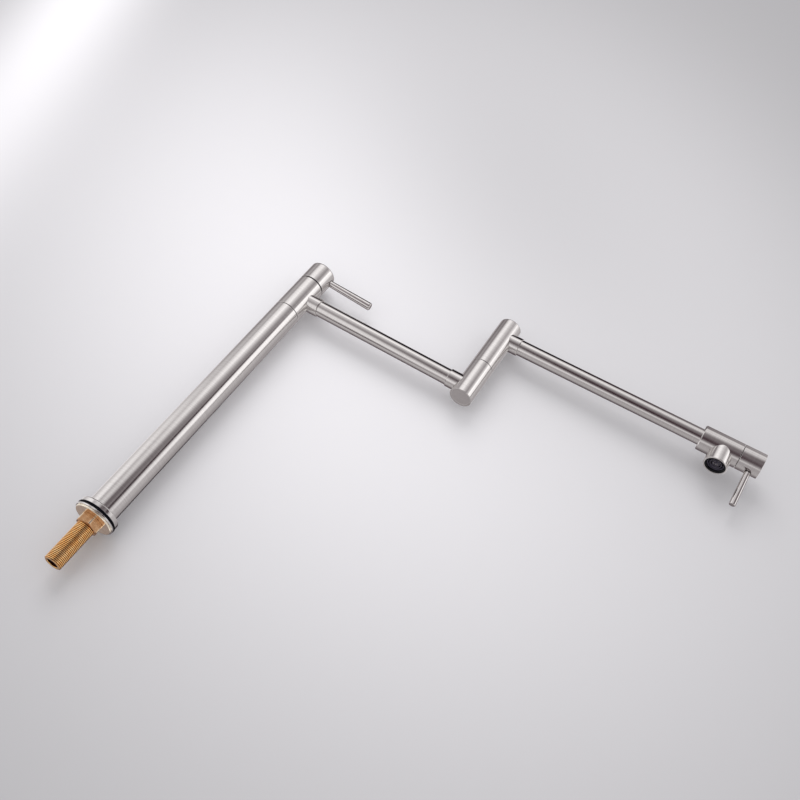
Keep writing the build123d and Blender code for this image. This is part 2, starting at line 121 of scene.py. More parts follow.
class Recipe:  # a material's or the world's node tree
    def __init__(self, tree):
        self.tree = tree
        tree.nodes.clear()

    def node(self, kind, settings=None, values=None, output=0):
        made = self.tree.nodes.new(kind)
        for key, setting in (settings or {}).items():
            setattr(made, key, setting)
        for key, value in (values or {}).items():
            if isinstance(value, Signal):
                self.tree.links.new(value.socket, made.inputs[key])
            else:
                made.inputs[key].default_value = value
        return Signal(self, made.outputs[output]) if len(made.outputs) else None

    def scaled(self, vector, amount):
        return self.node("ShaderNodeVectorMath", {"operation": "SCALE"}, {0: vector, "Scale": amount})

    def place(self):  # where a point of the piece is, in metres, along its own axes
        return self.node("ShaderNodeTexCoord", output="Object")

    def fromAxis(self, where):  # how far a point is from the piece's own upright axis
        settings = {"operation": "LENGTH"}
        return self.node("ShaderNodeVectorMath", settings, {0: where * (1.0, 1.0, 0.0)}, "Value")

    def noise(self, vector, scale, detail=3.0, roughness=0.55, distortion=0.0):
        values = {"Vector": vector, "Scale": scale, "Detail": detail,
                  "Roughness": roughness, "Distortion": distortion}
        return self.node("ShaderNodeTexNoise", None, values, "Fac")

    def blend(self, factor, first, second, operation="MIX"):
        settings = {"data_type": "RGBA", "blend_type": operation, "clamp_factor": True}
        values = {0: factor, 6: asColour(first), 7: asColour(second)}
        return self.node("ShaderNodeMix", settings, values, 2)

    def bump(self, height, distance):
        return self.node("ShaderNodeBump", None, {"Strength": 1.0, "Distance": distance, "Height": height})

    def finish(self, surface):
        self.node("ShaderNodeOutputMaterial", None, {"Surface": surface})


def newMaterial(name):
    material = bpy.data.materials.new(name)
    material.use_nodes = True
    return material, Recipe(material.node_tree)


satinLook = {
    "light": (0.72, 0.705, 0.692),
    "dark": (0.63, 0.61, 0.597),
    "roughness": 0.11,
    "lineSwing": 0.1,           # how far the brush lines change the roughness
    "cloudSwing": 0.04,
    "cloudScale": 35.0,
    "brushed": 0.6,             # how much further the shine spreads along a tube than round it
    "brushTurn": 0.25,          # a quarter turn lays that spread along the tube
    "lineSpacing": 900.0,       # brush lines per metre, first octave
    "lineStretch": 22.0,
    "lineDepth": 0.000003,
}


def satinSteel(name, look):
    # brushed round each piece's own upright axis, so every tube carries fine rings
    material, recipe = newMaterial(name)
    where = recipe.place()
    rings = where * (0.0, 0.0, look["lineSpacing"]) + where * look["lineStretch"]
    lines = recipe.noise(rings, 1.0, 5.0, 0.7)
    clouds = recipe.noise(where, look["cloudScale"], 2.0)
    colour = recipe.blend(lines.ramped(0.3, 0.7) * 0.6 + clouds * 0.4, look["dark"], look["light"])
    swing = (lines - 0.5) * look["lineSwing"]
    recipe.finish(recipe.node("ShaderNodeBsdfPrincipled", None, {
        "Base Color": colour,
        "Metallic": 1.0,
        "Roughness": look["roughness"] + swing + (clouds - 0.5) * look["cloudSwing"],
        "Anisotropic": look["brushed"],
        "Anisotropic Rotation": look["brushTurn"],
        "Normal": recipe.bump(lines, look["lineDepth"]),
    }))
    return material


polishedLook = {
    "colour": (0.72, 0.7, 0.69),
    "smear": (0.66, 0.635, 0.62),
    "edge": (0.3, 0.26, 0.26),   # a polished rod darkens at its outline
    "roughness": 0.06,
    "smearSwing": 0.05,          # how far smears and lines change the roughness
    "lineSwing": 0.03,
    "smearScale": 120.0,
    "lineSpacing": 2500.0,
    "lineStretch": 60.0,
    "lineDepth": 0.000001,
}


def polishedSteel(name, look):
    material, recipe = newMaterial(name)
    where = recipe.place()
    lines = recipe.noise(where * (0.0, 0.0, look["lineSpacing"]) + where * look["lineStretch"], 1.0, 3.0)
    smears = recipe.noise(where, look["smearScale"], 4.0, 0.6)
    swing = (smears - 0.5) * look["smearSwing"]
    recipe.finish(recipe.node("ShaderNodeBsdfPrincipled", None, {
        "Base Color": recipe.blend(smears.ramped(0.35, 0.75), look["colour"], look["smear"]),
        "Metallic": 1.0,
        "Specular Tint": look["edge"] + (1.0,),
        "Roughness": look["roughness"] + swing + (lines - 0.5) * look["lineSwing"],
        "Normal": recipe.bump(lines, look["lineDepth"]),
    }))
    return material


threadCrest = 10.48   # radius over the thread's crests
threadRoot = 9.32     # and in its grooves
shankFoot = -64.75    # the shank's lower end

threadLook = {
    "bright": (1.0, 0.67, 0.31),
    "warm": (1.0, 0.54, 0.18),
    "roughness": 0.09,
    "lineSpacing": 1500.0,
    "lineDepth": 0.000003,
    # painted shade: the grooves' colour is darkened to stand for the shade that falls in them
    "grooveShade": (0.38, 0.1, 0.006),
    "grooveDepths": (0.0696, 0.522),   # below the crest, where the painted groove shade starts and where it's full
    "grooveHeights": (0.3, 0.8),       # above the shank's lower end, the same
    "grooveDull": 0.15,
}

# painted shade: the brass solids inside the tap are darkened far below brass's own colour
shadedInnerBrassLook = {
    "bright": (0.22, 0.16, 0.1),
    "warm": (0.16, 0.11, 0.06),
    "roughness": 0.5,
    "lineSpacing": 1500.0,
    "lineDepth": 0.000008,
}

washerLook = {
    "bright": (1.0, 0.83, 0.64),
    "warm": (0.96, 0.75, 0.55),
    "roughness": 0.2,
    "lineSpacing": 900.0,
    "lineDepth": 0.000004,
    "rim": (1.0, 0.92, 0.76),    # painted highlight along the rim
    "rimHighlightRadii": (21.8, 22.2),
}

brassGrain = {   # what all the turned brass shares
    "cloudScale": 160.0,
    "fleckScale": 1400.0,
    "lineStretch": 40.0,
    "cloudSwing": 0.12,          # how far clouds and tool lines change the roughness
    "lineSwing": 0.08,
    "fleckSwing": 0.06,          # how far flecks break up the painted shade of a groove
}


def turnedBrass(name, look, grain=brassGrain):
    # machined brass; a thread's grooves get painted shade and are duller, and a washer's rim gets a painted
    # highlight
    material, recipe = newMaterial(name)
    where = recipe.place()
    clouds = recipe.noise(where, grain["cloudScale"], 4.0, 0.6)
    flecks = recipe.noise(where, grain["fleckScale"], 3.0, 0.6)
    radius = recipe.fromAxis(where)
    rings = (where * upright + radius) * look["lineSpacing"] + where * grain["lineStretch"]
    lines = recipe.noise(rings, 1.0, 4.0, 0.7)
    colour = recipe.blend(clouds.ramped(0.35, 0.65), look["warm"], look["bright"])
    swing = (clouds - 0.5) * grain["cloudSwing"]
    roughness = look["roughness"] + swing + (lines - 0.5) * grain["lineSwing"]
    if "grooveShade" in look:
        start, full = [(threadCrest - depth) * mm for depth in look["grooveDepths"]]
        low, high = [(shankFoot + height) * mm for height in look["grooveHeights"]]
        # painted shade: darker colour deep in the thread's grooves, over the threaded length
        sunk = radius.ramped(start, full) * where.along(upright).ramped(low, high)
        colour = recipe.blend(sunk + (flecks - 0.5) * grain["fleckSwing"], colour, look["grooveShade"])
        roughness = roughness + sunk * look["grooveDull"]
    # painted highlight: a lighter colour on the washer's outer rim
    if "rim" in look:
        start, full = look["rimHighlightRadii"]
        colour = recipe.blend(radius.ramped(start * mm, full * mm), colour, look["rim"])
    recipe.finish(recipe.node("ShaderNodeBsdfPrincipled", None, {
        "Base Color": colour,
        "Metallic": 1.0,
        "Roughness": roughness,
        "Normal": recipe.bump(lines * 0.8 + flecks * 0.2, look["lineDepth"]),
    }))
    return material


nutLook = {
    "light": (0.66, 0.41, 0.23),
    "dark": (0.42, 0.22, 0.1),
    # the nut's entry is a painted highlight colour for the six corners; in the plastics it is a lighter worn
    # tone
    "wearAndHighlight": (1.0, 0.86, 0.66),
    "highlightRadii": (13.73, 14.18),   # the painted highlight starts and is full here, at the six corners
    "highlightSwing": 0.4,              # how far clouds move that line
    "highlightShine": 0.08,
    "roughness": 0.26,
    "cloudScale": 220.0,
    "grainSpacing": (300.0, 300.0, 2600.0),
    "grainSwing": 0.15,
    "grainDepth": 0.000012,
}


def nutBrass(name, look):
    # duller, redder brass of the forged nut, with a sawn grain on its flats and a painted highlight along its
    # six corners
    material, recipe = newMaterial(name)
    where = recipe.place()
    grain = recipe.noise(where * look["grainSpacing"], 1.0, 4.0, 0.65)
    clouds = recipe.noise(where, look["cloudScale"], 3.0)
    start, full = look["highlightRadii"]
    radius = recipe.fromAxis(where) + (clouds - 0.5) * look["highlightSwing"] * mm
    # painted highlight: lighter colour along the nut's six corners
    wearAndHighlight = radius.ramped(start * mm, full * mm)
    colour = recipe.blend(clouds.ramped(0.3, 0.7) * 0.7 + grain * 0.3, look["dark"], look["light"])
    recipe.finish(recipe.node("ShaderNodeBsdfPrincipled", None, {
        "Base Color": recipe.blend(wearAndHighlight, colour, look["wearAndHighlight"]),
        "Metallic": 1.0,
        "Roughness": look["roughness"] + (grain - 0.5) * look["grainSwing"] - wearAndHighlight * look["highlightShine"],
        "Normal": recipe.bump(grain, look["grainDepth"]),
    }))
    return material


rubberLook = {
    "colour": (0.003, 0.003, 0.005),
    "dusty": (0.006, 0.006, 0.009),
    "roughness": 0.5,
    "dustScale": 260.0,
    "dustSwing": 0.25,
    "shine": 0.05,
    "poreScale": 2600.0,
    "poreDepth": 0.00003,
}


def blackRubber(name, look):
    material, recipe = newMaterial(name)
    where = recipe.place()
    dust = recipe.noise(where, look["dustScale"], 4.0, 0.6)
    pores = recipe.noise(where, look["poreScale"], 2.0)
    recipe.finish(recipe.node("ShaderNodeBsdfPrincipled", None, {
        "Base Color": recipe.blend(dust.ramped(0.45, 0.8), look["colour"], look["dusty"]),
        "Roughness": look["roughness"] + (dust - 0.5) * look["dustSwing"],
        "Specular IOR Level": look["shine"],
        "Normal": recipe.bump(pores, look["poreDepth"]),
    }))
    return material


darkLook = {"colour": (0.004, 0.004, 0.005), "wearAndHighlight": (0.008, 0.008, 0.01), "roughness": 0.5, "shine": 0.15}
aeratorLook = {"colour": (0.06, 0.053, 0.075), "wearAndHighlight": (0.1, 0.09, 0.12), "roughness": 0.4, "shine": 0.3}
ceramicLook = {"colour": (0.86, 0.85, 0.82), "wearAndHighlight": (0.93, 0.92, 0.9), "roughness": 0.25, "shine": 0.5}
mouldGrain = {"flowScale": 180.0, "flowSwing": 0.18, "grainScale": 3200.0, "grainDepth": 0.00002}


def mouldedPlastic(name, look, mould=mouldGrain):
    material, recipe = newMaterial(name)
    where = recipe.place()
    flow = recipe.noise(where, mould["flowScale"], 3.0, 0.5, 0.6)
    grain = recipe.noise(where, mould["grainScale"], 2.0)
    recipe.finish(recipe.node("ShaderNodeBsdfPrincipled", None, {
        "Base Color": recipe.blend(flow.ramped(0.35, 0.7), look["colour"], look["wearAndHighlight"]),
        "Roughness": look["roughness"] + (flow - 0.5) * mould["flowSwing"],
        "Specular IOR Level": look["shine"],
        "Normal": recipe.bump(grain, mould["grainDepth"]),
    }))
    return material


finishes = {
    "satin": satinSteel("satinSteel", satinLook),
    "polished": polishedSteel("polishedSteel", polishedLook),
    "thread": turnedBrass("threadBrass", threadLook),
    "brass": turnedBrass("innerBrassPaintedShade", shadedInnerBrassLook),
    "washer": turnedBrass("washerBrass", washerLook),
    "nut": nutBrass("nutBrass", nutLook),
    "rubber": blackRubber("blackRubber", rubberLook),
    "dark": mouldedPlastic("darkPlastic", darkLook),
    "aerator": mouldedPlastic("aeratorPlastic", aeratorLook),
    "ceramic": mouldedPlastic("discCeramic", ceramicLook),
}
print("finishes made:", len(finishes))


def softened(corners, looped=True, bends=3):
    # (height, radius, rounding) corners to points, each corner rounded by its own amount
    points = []
    count = len(corners)
    for number, (height, radius, rounding) in enumerate(corners):
        here = Vector((height, radius))
        if not rounding or (not looped and number in (0, count - 1)):
            points.append((height, radius))
            continue
        back = (Vector(corners[number - 1][:2]) - here).normalized()
        onward = (Vector(corners[(number + 1) % count][:2]) - here).normalized()
        half = acos(max(-1.0, min(1.0, back.dot(onward)))) / 2
        centre = here + (back + onward).normalized() * (rounding / sin(half))
        first = here + back * (rounding / tan(half)) - centre
        last = here + onward * (rounding / tan(half)) - centre
        sweep = atan2(first.x * last.y - first.y * last.x, first.dot(last))
        for bend in range(bends + 1):
            turn = sweep * bend / bends
            rise = first.x * cos(turn) - first.y * sin(turn)
            out = first.x * sin(turn) + first.y * cos(turn)
            points.append(tuple(centre + Vector((rise, out))))
    return points


def turned(profileAt, steps=96, looped=True, start=0.0):
    # mesh round the local Z axis; profileAt gives (height, radius) points for an angle
    mesh = bmesh.new()
    columns = []
    for step in range(steps):
        angle = start + 2 * pi * step / steps
        columns.append([
            mesh.verts.new((radius * cos(angle), radius * sin(angle), height))
            for height, radius in profileAt(angle)])
    count = len(columns[0])
    for step in range(steps):
        here, there = columns[step], columns[(step + 1) % steps]
        for row in range(count if looped else count - 1):
            after = (row + 1) % count
            mesh.faces.new((here[row], there[row], there[after], here[after]))
    bmesh.ops.remove_doubles(mesh, verts=mesh.verts, dist=0.0005)
    bmesh.ops.recalc_face_normals(mesh, faces=mesh.faces)
    return mesh


def lathe(corners, steps=96, looped=True, bends=3):
    points = softened(corners, looped, bends)
    return turned(lambda angle: points, steps, looped)


def ringMesh(size, steps=128, bends=3):
    # the four edges are the roundings at the low hole, low rim, high rim and high hole
    lowHole, lowRim, highRim, highHole = size["edges"]
    return lathe([
        (size["low"], size["hole"], lowHole), (size["low"], size["outer"], lowRim),
        (size["high"], size["outer"], highRim), (size["high"], size["hole"], highHole)],
        steps, bends=bends)


def axisAt(origin, along, side):
    along, side = Vector(along).normalized(), Vector(side).normalized()
    across = along.cross(side)
    return Matrix.Translation(origin) @ Matrix((side, across, along)).transposed().to_4x4()


def piece(name, mesh, axis, finish, body, nodes=(), sharp=38.0):
    # the mesh stands on its own Z axis in millimetres; the axis says where that is on the tap
    bmesh.ops.transform(mesh, matrix=Matrix.Scale(mm, 4), verts=mesh.verts)
    data = bpy.data.meshes.new(name)
    mesh.to_mesh(data)
    mesh.free()
    data.polygons.foreach_set("use_smooth", [True] * len(data.polygons))
    data.set_sharp_from_angle(angle=radians(sharp))
    made = bpy.data.objects.new(name, data)
    scene.collection.objects.link(made)
    made.matrix_world = Matrix.Translation(axis.to_translation() * mm) @ axis.to_3x3().to_4x4()
    made.data.materials.append(finishes[finish])
    weighted = made.modifiers.new("evenShading", "WEIGHTED_NORMAL")
    weighted.keep_sharp = True
    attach(made, body)
    if nodes:
        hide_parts(*nodes)


alongArm1 = (1.0, 0.0, 0.0)
arm2Yaw = radians(-1.55)
alongArm2 = (cos(arm2Yaw), sin(arm2Yaw), 0.0)
arm2Side = (-sin(arm2Yaw), cos(arm2Yaw), 0)
kneeX = 243.8
arm1Height = 382.8
arm2Height = 476.1
deckAxis = Matrix.Identity(4)
kneeAxis = axisAt((kneeX, 0, 0), upright, alongArm1)
arm1Axis = axisAt((0, 0, arm1Height), alongArm1, (0, 1, 0))
arm2Axis = axisAt((kneeX, 0, arm2Height), alongArm2, arm2Side)


shank = {"crest": threadCrest, "root": threadRoot, "pitch": 1.814, "crestShare": 0.46, "crown": 0.035,
         "bore": 6.5, "low": shankFoot, "high": 3.0, "lead": 0.6, "lip": 0.5, "samples": 12, "steps": 96}


def threadRadius(height, angle, size):
    # one start, right hand; the ridge climbs a pitch in a turn
    phase = (height / size["pitch"] - angle / (2 * pi)) % 1.0
    away = 2 * abs(phase - 0.5)   # 0 on the crest, 1 in the groove
    ridge = 0.5 + 0.5 * cos(pi * max(0.0, away - size["crestShare"]) / (1 - size["crestShare"]))
    ridge -= size["crown"] * min(1.0, away / size["crestShare"]) ** 2
    lead = min(1.0, max(0.0, (height - size["low"]) / size["lead"]))
    return size["root"] + (size["crest"] - size["root"]) * ridge * lead


def threadProfile(size):
    rows = int((size["high"] - size["low"]) / size["pitch"] * size["samples"])
    heights = [size["low"] + (size["high"] - size["low"]) * row / rows for row in range(rows + 1)]
    mouth = [(size["low"] + size["lip"], size["bore"]), (size["low"], size["bore"] + size["lip"])]

    def profileAt(angle):
        wall = [(height, threadRadius(height, angle, size)) for height in heights]
        return [(size["high"], size["bore"])] + mouth + wall
    return profileAt


piece("threadedShank", turned(threadProfile(shank), shank["steps"]), deckAxis, "thread",
      "base", ["mounting_shank"], 55.0)

nut = {"flats": 25.0, "low": -14.6, "high": -3.9, "bore": 10.53, "turn": -6.0, "steps": 144,
       "boreEdge": 0.6, "bevelSlope": 0.58, "edge": 0.35, "topEdge": 0.5,
       "topBend": (0.12, 0.15)}   # the top edge's middle point, down and in


def nutProfile(size):
    apothem = size["flats"] / 2
    halfFlat = radians(30)
    corner = apothem / cos(halfFlat)
    low, high, edge, topEdge = size["low"], size["high"], size["edge"], size["topEdge"]
    bendDown, bendIn = size["topBend"]

    def profileAt(angle):
        away = (angle - radians(size["turn"] + 30)) % (2 * halfFlat)
        away = min(away, 2 * halfFlat - away)
        reach = min(apothem / cos(min(away, halfFlat)), corner - edge)
        bevel = low + (reach - apothem + edge) * size["bevelSlope"]
        return [
            (low, size["bore"] + size["boreEdge"]), (low, apothem - edge),
            (bevel, reach), (bevel + edge, reach),
            (high - topEdge, reach), (high - bendDown, reach - bendIn), (high, reach - topEdge),
            (high, size["bore"]), (low + size["boreEdge"], size["bore"]),
        ]
    return profileAt


piece("hexNut", turned(nutProfile(nut), nut["steps"], start=radians(nut["turn"])), deckAxis, "nut",
      "base", ["lock_nut"], 22.0)

clampWasher = {"low": -3.9, "high": -1.9, "outer": 23.0, "hole": 10.68, "edges": (0.2, 0.9, 0.3, 0.2)}
backingWasher = {"low": -1.9, "high": 0.0, "outer": 24.2, "hole": 10.68, "edges": (0.2, 0.25, 0.3, 0.2)}
gasket = {"low": 0.0, "high": 3.3, "outer": 24.2, "hole": 10.68, "edges": (0.3, 0.9, 0.9, 0.3)}
piece("brassWasher", ringMesh(clampWasher), deckAxis, "washer", "base", ["clamp_washer"])
piece("steelWasher", ringMesh(backingWasher), deckAxis, "satin", "base", ["backing_washer"])
piece("rubberGasket", ringMesh(gasket), deckAxis, "rubber", "base", ["deck_gasket"])
print("shank, nut, washers and gasket made")

foot = {"low": 3.3, "high": 9.0, "outer": 23.6, "hole": 15.9, "edges": (0, 0.3, 1.6, 0)}
column = {"low": 9.0, "high": 352.0, "outer": 17.5, "hole": 16.0, "edges": (0, 0.1, 0.45, 0.2)}
sleeve = {"low": 352.6, "high": 405.9, "outer": 17.5, "hole": 12.06, "edges": (0.2, 0.45, 0.45, 0.2)}
piece("footFlange", ringMesh(foot, bends=7), deckAxis, "satin", "base", ["base_body"])
piece("columnTube", ringMesh(column), deckAxis, "satin", "base", ["column_tube"])
piece("swivelSleeve", ringMesh(sleeve), deckAxis, "satin", "first_arm", ["swivel_sleeve"])

# faces round a cap, up its band and to each side of the socket, and where the rings between the
# window and the hole lie, as shares of the way
socketGrid = {"steps": 120, "rows": 10, "columns": 9, "shares": (0.35, 0.7, 1.0)}


def openedCap(cap, hole, grid, bends):
    # a cap with a window in its round wall; the plain band from bandLow to bandHigh holds it, and
    # the four edges are the roundings at the ceiling, the mouth's inside and outside, and the top
    ceilingEdge, mouthEdge, lowEdge, topEdge = cap["edges"]
    corners = [
        (cap["ceiling"], 0.0, 0), (cap["ceiling"], cap["inner"], ceilingEdge),
        (cap["low"], cap["inner"], mouthEdge), (cap["low"], cap["outer"], lowEdge),
        (cap["top"], cap["outer"], topEdge), (cap["top"], 0.0, 0)]
    bandHeight = cap["bandHigh"] - cap["bandLow"]
    band = [cap["bandLow"] + bandHeight * row / grid["rows"] for row in range(grid["rows"] + 1)]
    wallStart = cap["low"] + lowEdge
    points = []
    for height, radius in softened(corners, True, bends):
        points.append((height, radius))
        if abs(height - wallStart) < 0.001 and abs(radius - cap["outer"]) < 0.001:
            points += [(row, cap["outer"]) for row in band]
    mesh = turned(lambda angle: points, grid["steps"], True, hole["turn"])
    span = 2 * pi / grid["steps"] * grid["columns"]
    doomed = []
    for face in mesh.faces:
        middle = face.calc_center_median()
        off = (atan2(middle.y, middle.x) - hole["turn"] + pi) % (2 * pi) - pi
        onWall = middle.xy.length > cap["outer"] - 0.1
        if onWall and abs(off) < span and band[0] < middle.z < band[-1]:
            doomed.append(face)
    bmesh.ops.delete(mesh, geom=doomed, context="FACES")
    return mesh


def windowRim(mesh):
    # the points round the window, in order
    edges = [edge for edge in mesh.edges if edge.is_boundary]
    rim = [edges[0].verts[0]]
    while len(rim) < len(edges):
        here = rim[-1]
        rim.append(next(
            edge.other_vert(here) for edge in here.link_edges
            if edge.is_boundary and edge.other_vert(here) not in rim[-2:]))
    return rim


def socketed(cap, hole, grid=socketGrid, bends=5):
    # closes the window with a flat-bottomed socket for the lever's root
    mesh = openedCap(cap, hole, grid, bends)
    rim = windowRim(mesh)
    turn = Matrix.Rotation(-hole["turn"], 3, "Z")
    wall = cap["outer"]
    floor = wall - hole["depth"]
    edgeRadius = hole["radius"] + hole["edge"]
    spots = []
    for vert in rim:
        local = turn @ vert.co
        spots.append(Vector((local.y, local.z - hole["height"])))

    def loopAt(share, radius, depth=None, sunk=0.0):
        # share 0 is the rim of the window, 1 the round hole; without a depth it follows the wall
        verts = []
        for spot in spots:
            here = spot.lerp(spot.normalized() * radius, share)
            out = sqrt(wall ** 2 - here.x ** 2) - sunk if depth is None else depth
            verts.append(mesh.verts.new(turn.inverted() @ Vector((out, here.x, here.y + hole["height"]))))
        return verts

    loops = [rim] + [loopAt(share, edgeRadius) for share in grid["shares"]]
    loops.append(loopAt(1.0, hole["radius"], sunk=hole["edge"]))
    loops += [loopAt(1.0, radius, floor) for radius in (hole["radius"], hole["stud"])]
    for before, after in zip(loops, loops[1:]):
        for number in range(len(rim)):
            following = (number + 1) % len(rim)
            mesh.faces.new((before[number], before[following], after[following], after[number]))
    mesh.faces.new(loops[-1])
    bmesh.ops.recalc_face_normals(mesh, faces=mesh.faces)
    return mesh


def leverMesh(size):
    return lathe([
        (size["start"], 0.0, 0), (size["start"], size["root"], size["rootEdge"]),
        (size["reach"], size["tip"], size["tipEdge"]), (size["reach"], 0.0, 0)],
        size["steps"], False, size["bends"])


topCap = {"outer": 17.5, "inner": 15.6, "low": 407.4, "ceiling": 421.5, "top": 436.0,
          "edges": (0.3, 0.2, 0.3, 2.0), "bandLow": 420.4, "bandHigh": 433.4}
topSocket = {"turn": radians(4.0), "height": 426.9, "radius": 5.0, "depth": 2.0, "edge": 0.25, "stud": 2.6}
piece("topCap", socketed(topCap, topSocket), deckAxis, "satin", "column_handle", ["top_cap"])

topLever = {"start": 15.6, "reach": 78.5, "root": 4.2, "tip": 5.1, "rootEdge": 0.2, "tipEdge": 2.3,
            "steps": 64, "bends": 6}
topLeverWay = (cos(topSocket["turn"]), sin(topSocket["turn"]), 0)
topLeverAxis = axisAt((0, 0, topSocket["height"]), topLeverWay, upright)
piece("topLever", leverMesh(topLever), topLeverAxis, "polished",
      "column_handle", ["top_lever"])
print("column, sleeve and column handle made")

arm = {"outer": 10.2, "inner": 9.0, "collar": 11.5, "gap": 0.05, "collarEdge": 0.45,
       "columnSide": 17.55, "knuckleSide": 14.65, "rootCollarEnd": 30.0, "kneeCollarStart": 217.5,
       "arm2CollarEnd": 25.1, "arm2End": 276.0, "endBand": 1.0}
edgeMiddle = 0.3   # where the middle point of a small rounded edge lies, as a share of its size


def reachOf(post, radius, angle):
    # how far along an arm the round post's side is, for a point of the arm's own wall
    return sqrt(post ** 2 - (radius * cos(angle)) ** 2)


def armMesh(outer, inner, start=0, end=0, edge=0.0, startPost=None, endPost=None):
    # a tube between two ends; an end at the column or the knuckle is shaped to its round side
    startEdge = 0.0 if startPost else edge
    endEdge = 0.0 if endPost else edge

    def endsAt(radius, angle):
        low = reachOf(startPost, radius, angle) if startPost else start
        high = kneeX - reachOf(endPost, radius, angle) if endPost else end
        return low, high

    def profileAt(angle):
        innerLow, innerHigh = endsAt(inner, angle)
        low, high = endsAt(outer, angle)
        return [
            (innerLow, inner),
            (low, outer - startEdge), (low + startEdge * edgeMiddle, outer - startEdge * edgeMiddle),
            (low + startEdge, outer), (low + arm["endBand"], outer),
            (high - arm["endBand"], outer), (high - endEdge, outer),
            (high - endEdge * edgeMiddle, outer - endEdge * edgeMiddle), (high, outer - endEdge),
            (innerHigh, inner),
        ]
    return turned(profileAt)


def collarMesh(**ends):
    return armMesh(arm["collar"], arm["outer"] + arm["gap"], edge=arm["collarEdge"], **ends)


def tubeMesh(**ends):
    return armMesh(arm["outer"], arm["inner"], **ends)


piece("arm1RootCollar", collarMesh(startPost=arm["columnSide"], end=arm["rootCollarEnd"]),
      arm1Axis, "satin", "first_arm", ["arm1_sleeve_collar"])
piece("arm1Tube", tubeMesh(startPost=arm["columnSide"], endPost=arm["knuckleSide"]),
      arm1Axis, "satin", "first_arm", ["arm1_tube"])
piece("arm1EndCollar", collarMesh(start=arm["kneeCollarStart"], endPost=arm["knuckleSide"]),
      arm1Axis, "satin", "first_arm", ["arm1_knuckle_collar"])
piece("arm2RootCollar", collarMesh(startPost=arm["knuckleSide"], end=arm["arm2CollarEnd"]),
      arm2Axis, "satin", "second_arm", ["arm2_collar"])
piece("arm2Tube", tubeMesh(startPost=arm["knuckleSide"], end=arm["arm2End"]),
      arm2Axis, "satin", "second_arm", ["arm2_tube"])

knuckle = {"outer": 14.6, "inner": 11.0, "low": 364.5, "split": 419.5, "gap": 0.6, "top": 499.6,
           "round": 1.5, "edge": 0.3, "innerEdge": 0.2, "lowEdge": 0.35, "lip": 13.4, "lipEdge": 0.25,
           "lipHeight": 367.5, "ceiling": 495.0, "steps": 112}


def knuckleLower(size):
    return lathe([
        (size["low"], size["lip"], size["lipEdge"]), (size["low"], size["outer"], size["lowEdge"]),
        (size["split"], size["outer"], size["edge"]), (size["split"], size["inner"], size["innerEdge"]),
        (size["lipHeight"], size["inner"], 0), (size["lipHeight"], size["lip"], 0)], size["steps"])


def knuckleUpper(size):
    low = size["split"] + size["gap"]
    return lathe([
        (low, size["inner"], size["innerEdge"]), (low, size["outer"], size["edge"]),
        (size["top"], size["outer"], size["round"]), (size["top"], 0.0, 0),
        (size["ceiling"], 0.0, 0), (size["ceiling"], size["inner"], 0)], size["steps"], bends=5)


plug = {"low": 364.6, "top": 367.5, "outer": 13.35, "edge": 0.3, "dish": 0.12, "dishEdge": 0.1,
        "dishRim": (1.6, 1.2), "steps": 112}   # how far in the dish's slope ends and starts


def plugMesh(size):
    floor, rim = size["dishRim"]
    return lathe([
        (size["low"] + size["dish"], 0.0, 0),
        (size["low"] + size["dish"], size["outer"] - floor, size["dishEdge"]),
        (size["low"], size["outer"] - rim, size["dishEdge"]), (size["low"], size["outer"], size["edge"]),
        (size["top"], size["outer"], 0), (size["top"], 0.0, 0)], size["steps"])


piece("knuckleLower", knuckleLower(knuckle), kneeAxis, "satin",
      "first_arm", ["knuckle_lower"])
piece("knucklePlug", plugMesh(plug), kneeAxis, "satin",
      "first_arm", ["knuckle_plug"])
piece("knuckleUpper", knuckleUpper(knuckle), kneeAxis, "satin",
      "second_arm", ["knuckle_upper"])
print("arms and knuckle made")

outlet = {"outer": 15.8, "start": 268.8, "end": 317.8, "chamfer": 1.0, "chamferEdge": 0.12, "edge": 0.3,
          "socket": 10.25, "socketEdge": 0.15, "chamber": 12.5, "chamberStart": 284.0, "chamberEdge": 0.2,
          "steps": 112}


def outletMesh(size):
    return lathe([
        (size["start"], size["socket"], size["socketEdge"]),
        (size["start"], size["outer"] - size["chamfer"], size["chamferEdge"]),
        (size["start"] + size["chamfer"], size["outer"], size["chamferEdge"]),
        (size["end"], size["outer"], size["edge"]), (size["end"], size["chamber"], size["chamberEdge"]),
        (size["chamberStart"], size["chamber"], 0), (size["chamberStart"], size["socket"], 0)], size["steps"])


piece("outletBody", outletMesh(outlet), arm2Axis, "satin", "second_arm", ["outlet_body"])

nozzle = {"distance": 297.3, "outer": 14.2, "bore": 12.55, "mouth": 445.8, "shoulder": 456.0,
          "throat": 10.0, "seat": 15.85, "lip": 0.45, "mouthBand": 1.2, "seamBand": 0.9, "steps": 128,
          "seamEdge": (0.18, 0.02, 0.2)}   # the seam's small bevel: its foot, its top and how far in
nozzleSpot = Vector((kneeX, 0, 0)) + Vector(alongArm2) * nozzle["distance"]
nozzleAxis = axisAt(nozzleSpot, upright, alongArm2)


